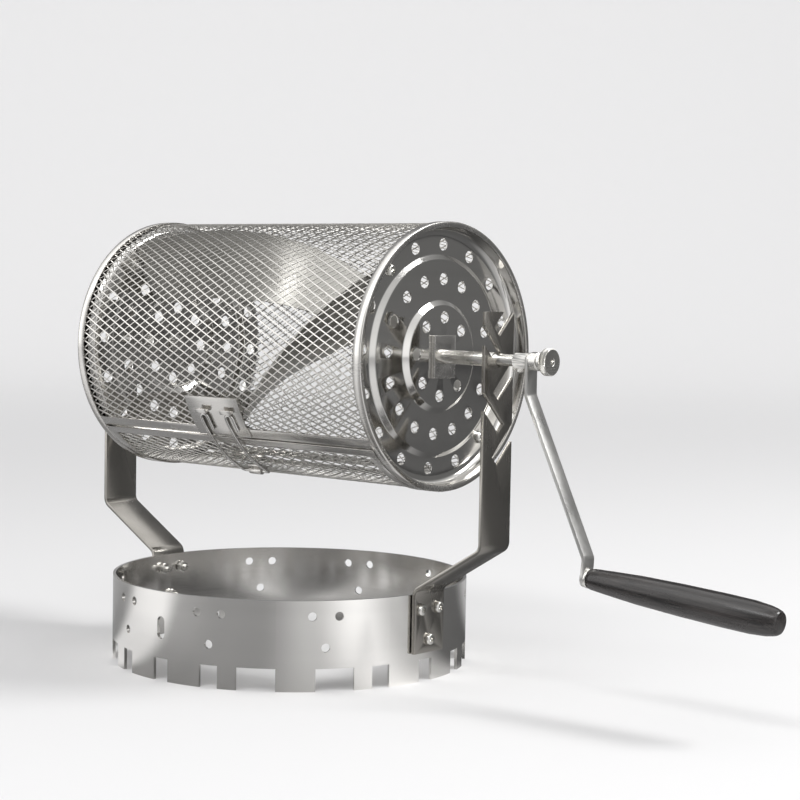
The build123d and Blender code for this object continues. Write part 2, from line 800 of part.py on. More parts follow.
with BuildPart() as handle_grip:
    with BuildSketch(handle_plane(grip_start)):
        with BuildLine():
            bore = spindle_radius + spindle_clearance
            bore_end = spindle_depth + bore_spare
            Polyline(*grip_shape, (grip_length, 0), (bore_end, 0), (bore_end, bore), (0, bore), close=True)
        make_face()
    revolve(axis=HANDLE)
save(handle_grip, "handle_grip")

# ================================================================ thumb screw
neck_start = crank_seat + crank_thick + clamp_gap

with BuildPart() as thumb_screw:
    groove_radii = (neck_radius, neck_radius - groove_depth, neck_radius - groove_depth, neck_radius)
    knob_start = neck_start + neck_length
    knob_end = knob_start + knob_thick
    axle_profile(1, [(neck_start - screw_length, 0), (neck_start - screw_length, screw_radius),
                     (neck_start, screw_radius), (neck_start, neck_radius),
                     *[(neck_start + neck_length * mark, radius)
                       for mark, radius in zip(groove_marks, groove_radii)],
                     (knob_start, neck_radius), (knob_start, knob_radius),
                     (knob_end - knob_chamfer, knob_radius), (knob_end, knob_radius - knob_chamfer),
                     (knob_end, 0)])
    with Locations(Plane.YZ.offset(knob_end)):
        with Locations((0, axle_height)):
            Hole(slot_hole_radius, slot_hole_depth)
save(thumb_screw, "thumb_screw")
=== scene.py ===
"""The looks of a stovetop coffee bean roaster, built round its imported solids.

Lengths in the classes are in millimetres and become metres where a mesh is made.
Angles round the drum are counted in degrees from straight up, through the back.
"""
import json
import logging
from dataclasses import dataclass, field
from enum import Enum
from math import atan2, ceil, cos, degrees, hypot, pi, radians, sin, sqrt
from typing import Callable, Iterable, Sequence

import bpy
from mathutils import Matrix, Vector

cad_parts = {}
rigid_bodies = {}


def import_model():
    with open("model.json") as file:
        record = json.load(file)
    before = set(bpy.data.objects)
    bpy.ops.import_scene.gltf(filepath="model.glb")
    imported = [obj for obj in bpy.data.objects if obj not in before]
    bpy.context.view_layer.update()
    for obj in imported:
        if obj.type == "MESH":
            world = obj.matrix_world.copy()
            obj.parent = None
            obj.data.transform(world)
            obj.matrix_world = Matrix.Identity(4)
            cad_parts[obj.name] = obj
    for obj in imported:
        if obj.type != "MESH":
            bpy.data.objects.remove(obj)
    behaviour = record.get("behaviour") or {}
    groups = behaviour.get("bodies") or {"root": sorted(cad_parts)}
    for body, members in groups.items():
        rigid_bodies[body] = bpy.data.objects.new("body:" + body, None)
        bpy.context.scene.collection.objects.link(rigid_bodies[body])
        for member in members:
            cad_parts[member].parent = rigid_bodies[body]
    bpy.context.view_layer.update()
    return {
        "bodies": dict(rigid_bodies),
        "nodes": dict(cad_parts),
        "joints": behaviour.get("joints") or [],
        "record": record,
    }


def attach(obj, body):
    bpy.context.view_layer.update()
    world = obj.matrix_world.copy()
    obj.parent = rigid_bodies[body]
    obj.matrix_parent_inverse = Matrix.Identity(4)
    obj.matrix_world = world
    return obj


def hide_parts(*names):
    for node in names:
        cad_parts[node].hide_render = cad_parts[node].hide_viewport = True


logging.basicConfig(level=logging.INFO, format="%(name)s: %(message)s")
log = logging.getLogger("roaster")

MM = 0.001
AXLE_HEIGHT = 159.0
RING_RADIUS = 91.0
BOLT_RING = 54.2
DISH_DEPTH = 8.1
FOOT_FACE = 93.04
NUT_ACROSS = 5.5
NUT_THICK = 2.4
HEAD_HEIGHT = 2.1
LATHE_UP = Vector((0.0, 0.0, 1.0))
RIM_LEFT = -93.0
RIM_RIGHT = 102.0

Point = tuple[float, float, float]
Flat = tuple[float, float]


class Body(Enum):
    """The groups of pieces that move as one."""

    BASE = "base"
    BUSH = "bush"
    DRUM = "drum"
    GRIP = "grip"
    SCREW = "thumb_screw"
    DOOR = "door"
    BAIL = "bail"


class Side(Enum):
    """The two ends of the axle."""

    CRANK = 1
    IDLE = -1


def outward(angle: float) -> Vector:
    """Unit vector away from the axle at an angle round the drum."""
    return Vector((0.0, sin(radians(angle)), cos(radians(angle))))


def on_drum(x: float, radius: float, angle: float) -> Vector:
    """Point in millimetres from its place along the axle, radius and angle round the drum."""
    return Vector((x, 0.0, AXLE_HEIGHT)) + outward(angle) * radius


# ---------------------------------------------------------------- modelling
class Bench:
    """Modelling by hand: primitives, edit mode operators and modifiers."""

    def clear_selection(self) -> None:
        """Deselect everything and leave edit mode."""
        if bpy.context.object and bpy.context.object.mode != "OBJECT":
            bpy.ops.object.mode_set(mode="OBJECT")
        bpy.ops.object.select_all(action="DESELECT")

    def take(self, name: str) -> bpy.types.Object:
        """Name the object that an operator has just added.

        Args:
            name: the piece's name.

        Returns:
            The object.
        """
        piece = bpy.context.object
        piece.name = name
        piece.data.name = name
        return piece

    def pick(self, piece: bpy.types.Object) -> None:
        """Make one object the only selected and active one."""
        self.clear_selection()
        piece.select_set(True)
        bpy.context.view_layer.objects.active = piece

    def settle(self, piece: bpy.types.Object) -> bpy.types.Object:
        """Put a piece's place into its mesh, so that its object sits at the origin."""
        self.pick(piece)
        bpy.ops.object.transform_apply(location=True, rotation=True, scale=True)
        return piece

    def edit(self, piece: bpy.types.Object, *steps: Callable[[], object]) -> None:
        """Run edit mode steps on a whole mesh.

        Args:
            piece: the object to edit.
            steps: calls to make in edit mode with everything selected.
        """
        self.pick(piece)
        bpy.ops.object.mode_set(mode="EDIT")
        bpy.ops.mesh.select_all(action="SELECT")
        for step in steps:
            step()
        bpy.ops.object.mode_set(mode="OBJECT")

    def tidy(self, piece: bpy.types.Object, gap: float = 0.002) -> None:
        """Merge doubled points and turn all faces outwards.

        Args:
            piece: the object to tidy.
            gap: points nearer than this, in millimetres, become one.
        """
        self.edit(piece, lambda: bpy.ops.mesh.remove_doubles(threshold=gap * MM),
                  lambda: bpy.ops.mesh.dissolve_degenerate(threshold=gap * MM / 2),
                  lambda: bpy.ops.mesh.normals_make_consistent(inside=False))

    def smooth(self, piece: bpy.types.Object, angle: float = 32.0) -> bpy.types.Object:
        """Shade a piece smooth where its faces meet at less than an angle in degrees."""
        self.pick(piece)
        bpy.ops.object.shade_smooth_by_angle(angle=radians(angle))
        return piece

    def modify(self, piece: bpy.types.Object, kind: str, **settings: object) -> None:
        """Add a modifier and apply it.

        Args:
            piece: the object to change.
            kind: the modifier's type.
            settings: the modifier's values.
        """
        self.pick(piece)
        modifier = piece.modifiers.new(kind.lower(), kind)
        for key, value in settings.items():
            setattr(modifier, key, value)
        bpy.ops.object.modifier_apply(modifier=modifier.name)

    def bevel(self, piece: bpy.types.Object, width: float, segments: int = 2, angle: float = 40.0) -> None:
        """Round the edges that are sharper than an angle.

        Args:
            piece: the object to change.
            width: the bevel's width in millimetres.
            segments: the number of faces across the bevel.
            angle: the smallest edge angle, in degrees, that is rounded.
        """
        self.modify(piece, "BEVEL", width=width * MM, segments=segments, limit_method="ANGLE",
                    angle_limit=radians(angle), harden_normals=False, use_clamp_overlap=True)

    def join(self, name: str, pieces: Sequence[bpy.types.Object]) -> bpy.types.Object:
        """Join pieces into one object.

        Args:
            name: the joined piece's name.
            pieces: the objects to join.

        Returns:
            The joined object.
        """
        self.clear_selection()
        for piece in pieces:
            piece.select_set(True)
        bpy.context.view_layer.objects.active = pieces[0]
        if len(pieces) > 1:
            bpy.ops.object.join()
        return self.take(name)

    def block(self, name: str, centre: Sequence[float], size: Sequence[float],
              frame: Matrix | None = None) -> bpy.types.Object:
        """Box of a size in millimetres, with its own axes if a frame is given.

        Args:
            name: the piece's name.
            centre: its middle.
            size: its lengths along its own axes.
            frame: rotation of its axes.

        Returns:
            The box, with its place in its mesh.
        """
        self.clear_selection()
        bpy.ops.mesh.primitive_cube_add(size=1.0)
        piece = self.take(name)
        turn = frame.to_4x4() if frame else Matrix.Identity(4)
        piece.matrix_world = (Matrix.Translation(Vector(centre) * MM) @ turn
                              @ Matrix.Diagonal((*(Vector(size) * MM), 1.0)))
        return self.settle(piece)

    def rod(self, name: str, start: Vector, end: Vector, radius: float, sides: int = 32) -> bpy.types.Object:
        """Round rod between two points in millimetres.

        Args:
            name: the piece's name.
            start: the middle of one end.
            end: the middle of the other end.
            radius: the rod's radius.
            sides: how many sides its section has.

        Returns:
            The rod, with its place in its mesh.
        """
        self.clear_selection()
        way = end - start
        bpy.ops.mesh.primitive_cylinder_add(vertices=sides, radius=radius * MM, depth=way.length * MM)
        piece = self.take(name)
        turn = way.to_track_quat("Z", "Y").to_matrix().to_4x4()
        piece.matrix_world = Matrix.Translation((start + end) / 2 * MM) @ turn
        return self.settle(piece)

    def lathe(self, name: str, profile: Sequence[Flat], origin: Vector, axis: Vector, steps: int = 96,
              across: Vector = Vector((0.0, 1.0, 0.0))) -> bpy.types.Object:
        """Turned piece from a closed profile of (distance along the axis, radius) points.

        Args:
            name: the piece's name.
            profile: the section's points in order, in millimetres.
            origin: the point on the axis where distances start.
            axis: the axis's direction.
            steps: how many steps the full turn has.
            across: the direction in which the section is drawn.

        Returns:
            The turned piece.
        """
        self.clear_selection()
        bpy.ops.mesh.primitive_circle_add(vertices=len(profile), radius=MM, fill_type="NOTHING")
        piece = self.take(name)
        for vertex, (along, radius) in zip(piece.data.vertices, profile):
            vertex.co = (origin + axis * along + across * radius) * MM
        self.edit(piece, lambda: bpy.ops.mesh.spin(steps=steps, angle=2 * pi, center=origin * MM, axis=axis))
        self.tidy(piece)
        return piece

    def cut(self, piece: bpy.types.Object, cutters: Sequence[bpy.types.Object]) -> None:
        """Take the shapes of other pieces out of a piece.

        Args:
            piece: the object to cut.
            cutters: closed meshes, which are used up.
        """
        tool = self.join("cutter", cutters)
        self.modify(piece, "BOOLEAN", operation="DIFFERENCE", solver="EXACT", object=tool)
        bpy.data.objects.remove(tool, do_unlink=True)

    def wire(self, name: str, points: Sequence[Vector], radius: float,
             resolution: int = 6) -> bpy.types.Object:
        """Round wire along points, as a mesh tube.

        Args:
            name: the piece's name.
            points: the wire's line in millimetres.
            radius: the wire's radius.
            resolution: how many steps lie between two points.

        Returns:
            The tube, as a mesh with closed ends.
        """
        self.clear_selection()
        bpy.ops.curve.primitive_nurbs_path_add()
        curve = self.take(name)
        curve.data.splines.clear()
        spline = curve.data.splines.new("NURBS")
        spline.points.add(len(points) - 1)
        for target, point in zip(spline.points, points):
            target.co = (*(point * MM), 1.0)
        spline.order_u = 3
        spline.use_endpoint_u = True
        spline.resolution_u = resolution
        curve.data.dimensions = "3D"
        curve.data.bevel_depth = radius * MM
        curve.data.bevel_resolution = 5
        curve.data.use_fill_caps = True
        bpy.ops.object.convert(target="MESH")
        return self.settle(self.take(name))

    def copy_node(self, name: str, node: bpy.types.Object, width: float,
                  segments: int = 2) -> bpy.types.Object:
        """Copy of a solid with merged points, plain faces and rounded edges.

        Args:
            name: the new piece's name.
            node: the solid to copy.
            width: the edge rounding in millimetres.
            segments: faces across the rounding.

        Returns:
            The new piece.
        """
        piece = bpy.data.objects.new(name, node.data.copy())
        bpy.context.scene.collection.objects.link(piece)
        piece.data.materials.clear()
        self.edit(piece, lambda: bpy.ops.mesh.remove_doubles(threshold=0.0005 * MM),
                  lambda: bpy.ops.mesh.dissolve_limited(angle_limit=radians(0.6)))
        self.pick(piece)
        if piece.data.has_custom_normals:
            bpy.ops.mesh.customdata_custom_splitnormals_clear()
        if width:
            self.bevel(piece, width, segments)
        return self.smooth(piece)


def group_node(nodes: bpy.types.Nodes, tree: bpy.types.NodeTree) -> bpy.types.Node:
    """Add a node that holds a shared effect."""
    node = nodes.new("ShaderNodeGroup")
    node.node_tree = tree
    return node


def math_node(nodes: bpy.types.Nodes, operation: str, second: float | None = None) -> bpy.types.Node:
    """Add a sum, with a plain number on its second input where one is given."""
    node = nodes.new("ShaderNodeMath")
    node.operation = operation
    if second is not None:
        node.inputs[1].default_value = second
    return node


def range_node(nodes: bpy.types.Nodes, source: Flat, target: Flat) -> bpy.types.Node:
    """Add a node that maps one range of values to another."""
    node = nodes.new("ShaderNodeMapRange")
    for ends, name in ((source, "From"), (target, "To")):
        node.inputs[f"{name} Min"].default_value, node.inputs[f"{name} Max"].default_value = ends
    return node


# ---------------------------------------------------------------- finishes
class Effects:
    """Shader effects that several finishes share, each built once as a node group."""

    def __init__(self) -> None:
        """Start with no group built."""
        self.built: dict[str, bpy.types.NodeTree] = {}

    def start(self, name: str, inputs: dict[str, float], outputs: Sequence[str]) -> bpy.types.NodeTree:
        """Make an empty group with named sockets.

        Args:
            name: the group's name.
            inputs: number inputs with their defaults.
            outputs: names of the number outputs.

        Returns:
            The group.
        """
        tree = bpy.data.node_groups.new(name, "ShaderNodeTree")
        tree.interface.new_socket("Position", in_out="INPUT", socket_type="NodeSocketVector")
        for key, value in inputs.items():
            socket = tree.interface.new_socket(key, in_out="INPUT", socket_type="NodeSocketFloat")
            socket.default_value = value
        for key in outputs:
            tree.interface.new_socket(key, in_out="OUTPUT", socket_type="NodeSocketFloat")
        return tree

    def brush_lines(self) -> bpy.types.NodeTree:
        """Fine drawn lines of brushed metal, stretched along the position's first axis."""
        if "brush_lines" in self.built:
            return self.built["brush_lines"]
        tree = self.start("brush_lines", {"Fineness": 900.0, "Stretch": 0.02}, ("Line", "Band"))
        nodes, links = tree.nodes, tree.links
        entry, leave = nodes.new("NodeGroupInput"), nodes.new("NodeGroupOutput")
        squeeze = nodes.new("ShaderNodeCombineXYZ")
        squeeze.inputs[1].default_value = 1.0
        squeeze.inputs[2].default_value = 1.0
        links.new(entry.outputs["Stretch"], squeeze.inputs[0])
        scaled = nodes.new("ShaderNodeVectorMath")
        scaled.operation = "MULTIPLY"
        links.new(entry.outputs["Position"], scaled.inputs[0])
        links.new(squeeze.outputs[0], scaled.inputs[1])
        line = nodes.new("ShaderNodeTexNoise")
        line.inputs["Detail"].default_value = 3.0
        line.inputs["Roughness"].default_value = 0.7
        links.new(scaled.outputs[0], line.inputs["Vector"])
        links.new(entry.outputs["Fineness"], line.inputs["Scale"])
        band = nodes.new("ShaderNodeTexNoise")
        band.inputs["Scale"].default_value = 55.0
        band.inputs["Detail"].default_value = 4.0
        links.new(scaled.outputs[0], band.inputs["Vector"])
        links.new(line.outputs["Fac"], leave.inputs["Line"])
        links.new(band.outputs["Fac"], leave.inputs["Band"])
        self.built["brush_lines"] = tree
        return tree

    def smudges(self) -> bpy.types.NodeTree:
        """Soft cloudy variation, as handling leaves on metal."""
        if "smudges" in self.built:
            return self.built["smudges"]
        tree = self.start("smudges", {"Size": 40.0}, ("Cloud", "Speck"))
        nodes, links = tree.nodes, tree.links
        entry, leave = nodes.new("NodeGroupInput"), nodes.new("NodeGroupOutput")
        cloud = nodes.new("ShaderNodeTexNoise")
        cloud.inputs["Detail"].default_value = 5.0
        links.new(entry.outputs["Position"], cloud.inputs["Vector"])
        links.new(entry.outputs["Size"], cloud.inputs["Scale"])
        speck = nodes.new("ShaderNodeTexNoise")
        speck.inputs["Scale"].default_value = 1400.0
        speck.inputs["Detail"].default_value = 2.0
        links.new(entry.outputs["Position"], speck.inputs["Vector"])
        links.new(cloud.outputs["Fac"], leave.inputs["Cloud"])
        links.new(speck.outputs["Fac"], leave.inputs["Speck"])
        self.built["smudges"] = tree
        return tree

    def room_bands(self, marks: Sequence[Flat]) -> bpy.types.NodeTree:
        """Upright soft bands of light round the room, by the direction of a position.

        Args:
            marks: share of the full turn and level of light at each mark.

        Returns:
            The group, with the level of light as its output.
        """
        if "room_bands" in self.built:
            return self.built["room_bands"]
        tree = self.start("room_bands", {}, ("Level",))
        nodes, links = tree.nodes, tree.links
        entry, leave = nodes.new("NodeGroupInput"), nodes.new("NodeGroupOutput")
        turn = nodes.new("ShaderNodeTexGradient")
        turn.gradient_type = "RADIAL"
        links.new(entry.outputs["Position"], turn.inputs["Vector"])
        ramp = nodes.new("ShaderNodeValToRGB")
        ramp.color_ramp.interpolation = "EASE"
        stops = ramp.color_ramp.elements
        while len(stops) < len(marks):
            stops.new(0.5)
        for stop, (share, level) in zip(stops, marks):
            stop.position = share
            stop.color = (level, level, level, 1.0)
        links.new(turn.outputs["Fac"], ramp.inputs["Fac"])
        links.new(ramp.outputs["Color"], leave.inputs["Level"])
        self.built["room_bands"] = tree
        return tree


EFFECTS = Effects()


class Grain(Enum):
    """The direction in which a metal finish is drawn."""

    ROUND = "round"
    ALONG_X = "x"
    ALONG_Y = "y"
    ALONG_Z = "z"


@dataclass(frozen=True)
class MetalFinish:
    """Metal with drawn lines, soft bands and smudges.

    Attributes:
        name: the material's name.
        slot: the record's slot that it belongs to; not used.
        colour: the metal's colour, linear.
        roughness: the middle of its roughness.
        spread: how far the roughness swings.
        grain: the direction of its drawn lines.
        depth: the strength of the drawn relief.
        tone: how far bands lighten and darken the colour.
        fineness: the scale of the drawn lines.
    """

    name: str
    slot: str
    colour: tuple[float, float, float]
    roughness: float = 0.3
    spread: float = 0.12
    grain: Grain = Grain.ALONG_X
    depth: float = 0.15
    tone: float = 0.12
    fineness: float = 900.0

    def position(self, nodes: bpy.types.Nodes, links: bpy.types.NodeLinks) -> bpy.types.NodeSocket:
        """Coordinates with the grain along their first axis.

        Args:
            nodes: the material's nodes.
            links: the material's links.

        Returns:
            The socket that carries the coordinates.
        """
        place = nodes.new("ShaderNodeTexCoord")
        if self.grain is Grain.ROUND:
            split = nodes.new("ShaderNodeSeparateXYZ")
            links.new(place.outputs["Object"], split.inputs[0])
            angle = nodes.new("ShaderNodeMath")
            angle.operation = "ARCTAN2"
            links.new(split.outputs[1], angle.inputs[0])
            links.new(split.outputs[0], angle.inputs[1])
            arc = nodes.new("ShaderNodeMath")
            arc.operation = "MULTIPLY"
            arc.inputs[1].default_value = RING_RADIUS * MM
            links.new(angle.outputs[0], arc.inputs[0])
            merge = nodes.new("ShaderNodeCombineXYZ")
            links.new(arc.outputs[0], merge.inputs[0])
            links.new(split.outputs[2], merge.inputs[1])
            return merge.outputs[0]
        turn = nodes.new("ShaderNodeMapping")
        turn.inputs["Rotation"].default_value = {
            Grain.ALONG_X: (0.0, 0.0, 0.0),
            Grain.ALONG_Y: (0.0, 0.0, -pi / 2),
            Grain.ALONG_Z: (0.0, pi / 2, 0.0),
        }[self.grain]
        links.new(place.outputs["Object"], turn.inputs["Vector"])
        return turn.outputs["Vector"]

    def material(self) -> bpy.types.Material:
        """Build the material, or return it if it is there."""
        found = bpy.data.materials.get(self.name)
        if found:
            return found
        made = bpy.data.materials.new(self.name)
        made.use_nodes = True
        nodes, links = made.node_tree.nodes, made.node_tree.links
        shader = nodes["Principled BSDF"]
        shader.inputs["Metallic"].default_value = 1.0
        position = self.position(nodes, links)
        lines = group_node(nodes, EFFECTS.brush_lines())
        lines.inputs["Fineness"].default_value = self.fineness
        links.new(position, lines.inputs["Position"])
        clouds = group_node(nodes, EFFECTS.smudges())
        links.new(position, clouds.inputs["Position"])
        tint = range_node(nodes, (0.3, 0.7), (1.0 - self.tone, 1.0 + self.tone))
        links.new(lines.outputs["Band"], tint.inputs["Value"])
        colour = nodes.new("ShaderNodeVectorMath")
        colour.operation = "SCALE"
        colour.inputs[0].default_value = self.colour
        links.new(tint.outputs["Result"], colour.inputs["Scale"])
        links.new(colour.outputs[0], shader.inputs["Base Color"])
        wear = math_node(nodes, "MULTIPLY_ADD", 0.6)
        links.new(lines.outputs["Line"], wear.inputs[0])
        links.new(clouds.outputs["Cloud"], wear.inputs[2])
        rough = range_node(nodes, (0.5, 1.1),
                           (max(self.roughness - self.spread, 0.02), self.roughness + self.spread))
        links.new(wear.outputs[0], rough.inputs["Value"])
        links.new(rough.outputs["Result"], shader.inputs["Roughness"])
        bump = nodes.new("ShaderNodeBump")
        bump.inputs["Strength"].default_value = self.depth
        bump.inputs["Distance"].default_value = 0.02 * MM
        links.new(lines.outputs["Line"], bump.inputs["Height"])
        links.new(bump.outputs["Normal"], shader.inputs["Normal"])
        return made


@dataclass(frozen=True)
class LacquerFinish:
    """Black lacquer over turned wood, with faint pores along the handle."""

    name: str
    slot: str
    colour: tuple[float, float, float]
    roughness: float = 0.3

    def material(self) -> bpy.types.Material:
        """Build the material, or return it if it is there."""
        found = bpy.data.materials.get(self.name)
        if found:
            return found
        made = bpy.data.materials.new(self.name)
        made.use_nodes = True
        nodes, links = made.node_tree.nodes, made.node_tree.links
        shader = nodes["Principled BSDF"]
        place = nodes.new("ShaderNodeTexCoord")
        turn = nodes.new("ShaderNodeMapping")
        turn.inputs["Rotation"].default_value = (0.0, radians(-4.7), 0.0)
        links.new(place.outputs["Object"], turn.inputs["Vector"])
        lines = group_node(nodes, EFFECTS.brush_lines())
        lines.inputs["Fineness"].default_value = 700.0
        lines.inputs["Stretch"].default_value = 0.06
        links.new(turn.outputs["Vector"], lines.inputs["Position"])
        clouds = group_node(nodes, EFFECTS.smudges())
        links.new(turn.outputs["Vector"], clouds.inputs["Position"])
        tint = range_node(nodes, (0.35, 0.75), (0.3, 2.2))
        links.new(lines.outputs["Line"], tint.inputs["Value"])
        colour = nodes.new("ShaderNodeVectorMath")
        colour.operation = "SCALE"
        colour.inputs[0].default_value = self.colour
        links.new(tint.outputs["Result"], colour.inputs["Scale"])
        links.new(colour.outputs[0], shader.inputs["Base Color"])
        rough = range_node(nodes, (0.3, 0.7), (self.roughness - 0.05, self.roughness + 0.12))
        links.new(clouds.outputs["Cloud"], rough.inputs["Value"])
        links.new(rough.outputs["Result"], shader.inputs["Roughness"])
        bump = nodes.new("ShaderNodeBump")
        bump.inputs["Strength"].default_value = 0.6
        bump.inputs["Distance"].default_value = 0.06 * MM
        links.new(lines.outputs["Line"], bump.inputs["Height"])
        links.new(bump.outputs["Normal"], shader.inputs["Normal"])
        return made


RING_STEEL = MetalFinish(
    "brushed_ring_steel", "ring_steel", (0.82, 0.805, 0.78), 0.15, 0.05, Grain.ROUND, 0.12, 0.05)
ARM_STEEL = MetalFinish(
    "satin_arm_steel", "arm_steel", (0.33, 0.315, 0.29), 0.24, 0.06, Grain.ALONG_Z, 0.2, 0.1)
# The sheet steel again, with its colour darkened for the vanes: painted shade, as the vanes sit inside the
# drum.
SHADED_VANE_STEEL = MetalFinish(
    "shaded_vane_steel", "sheet_steel", (0.40, 0.39, 0.365), 0.3, 0.1, Grain.ALONG_X, 0.2, 0.1)
SHEET_STEEL = MetalFinish(
    "bright_sheet_steel", "sheet_steel", (0.62, 0.605, 0.58), 0.25, 0.1, Grain.ALONG_X, 0.15, 0.1)
LATTICE_STEEL = MetalFinish(
    "expanded_steel", "mesh_steel", (0.56, 0.545, 0.52), 0.3, 0.1, Grain.ALONG_X, 0.1, 0.12)
DISH_STEEL = MetalFinish(
    "polished_dish_steel", "polished_steel", (0.58, 0.57, 0.55), 0.1, 0.05, Grain.ALONG_Y, 0.05, 0.06)
CRANK_STEEL = MetalFinish(
    "brushed_crank_steel", "crank_steel", (0.52, 0.515, 0.5), 0.34, 0.1, Grain.ALONG_Z, 0.25, 0.12)
TURNED_STEEL = MetalFinish(
    "turned_steel", "fastener_steel", (0.66, 0.65, 0.62), 0.22, 0.1, Grain.ALONG_Y, 0.12, 0.1)
WIRE_STEEL = MetalFinish(
    "bright_wire", "wire_steel", (0.6, 0.59, 0.57), 0.2, 0.08, Grain.ALONG_X, 0.08, 0.08)
BUSH_FINISH = LacquerFinish("pale_bush_plastic", "pale_bush", (0.72, 0.71, 0.68), 0.4)
GRIP_FINISH = LacquerFinish("black_lacquered_wood", "lacquered_wood", (0.022, 0.019, 0.018), 0.2)


@dataclass
class Assembly:
    """What all groups of pieces share: the bench, the solids and handing over."""

    bench: Bench
    nodes: dict[str, bpy.types.Object]
    count: int = field(default=0, init=False)

    def hand_over(self, piece: bpy.types.Object, body: Body, finish: MetalFinish | LacquerFinish,
                  *replaced: str) -> None:
        """Dress a finished piece, let it ride and hide the solids that it stands for.

        Args:
            piece: the finished object.
            body: the body that it moves with.
            finish: its finish.
            replaced: the solids that it replaces.
        """
        piece.data.materials.clear()
        piece.data.materials.append(finish.material())
        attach(piece, body.value)
        if replaced:
            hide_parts(*replaced)
        self.count += 1
        log.info("%s: %d faces on %s", piece.name, len(piece.data.polygons), body.value)


@dataclass
class Fastened(Assembly):
    """A group of pieces that small screws and nuts hold."""

    def pan_screw(self, seat: Vector, way: Vector, length: float) -> bpy.types.Object:
        """Pan head screw with a cross recess.

        Args:
            seat: the point under the middle of the head.
            way: the direction in which the head stands.
            length: the length under the head.

        Returns:
            The screw.
        """
        bench = self.bench
        profile = [(-length, 0.0), (-length, 1.3), (0.4 - length, 1.5), (0.0, 1.5), (0.0, 2.7), (0.12, 2.8),
                   (1.0, 2.8), (1.45, 2.62), (1.8, 2.2), (2.0, 1.6), (2.08, 0.8), (HEAD_HEIGHT, 0.0)]
        screw = bench.lathe("screw", profile, seat, way, 40, LATHE_UP)
        frame = way.to_track_quat("Z", "Y").to_matrix() @ Matrix.Rotation(radians(28), 3, "Z")
        top = seat + way * HEAD_HEIGHT
        reach, width, depth = 3.1, 0.62, 1.5
        for size in ((reach, width, depth), (width, reach, depth)):
            bench.cut(screw, [bench.block("slot", top, size, frame)])
        return screw

    def nut(self, seat: Vector, way: Vector) -> bpy.types.Object:
        """Hexagon nut with eased corners, its bore filled by the screw's end.

        Args:
            seat: the middle of the face that bears.
            way: the direction away from that face.

        Returns:
            The nut.
        """
        bench = self.bench
        body = bench.rod("nut", seat, seat + way * NUT_THICK, NUT_ACROSS / sqrt(3), 6)
        bench.cut(body, [bench.rod("bore", seat - way, seat + way * 4, 1.55, 28)])
        bench.bevel(body, 0.25, 2, 50)
        return body


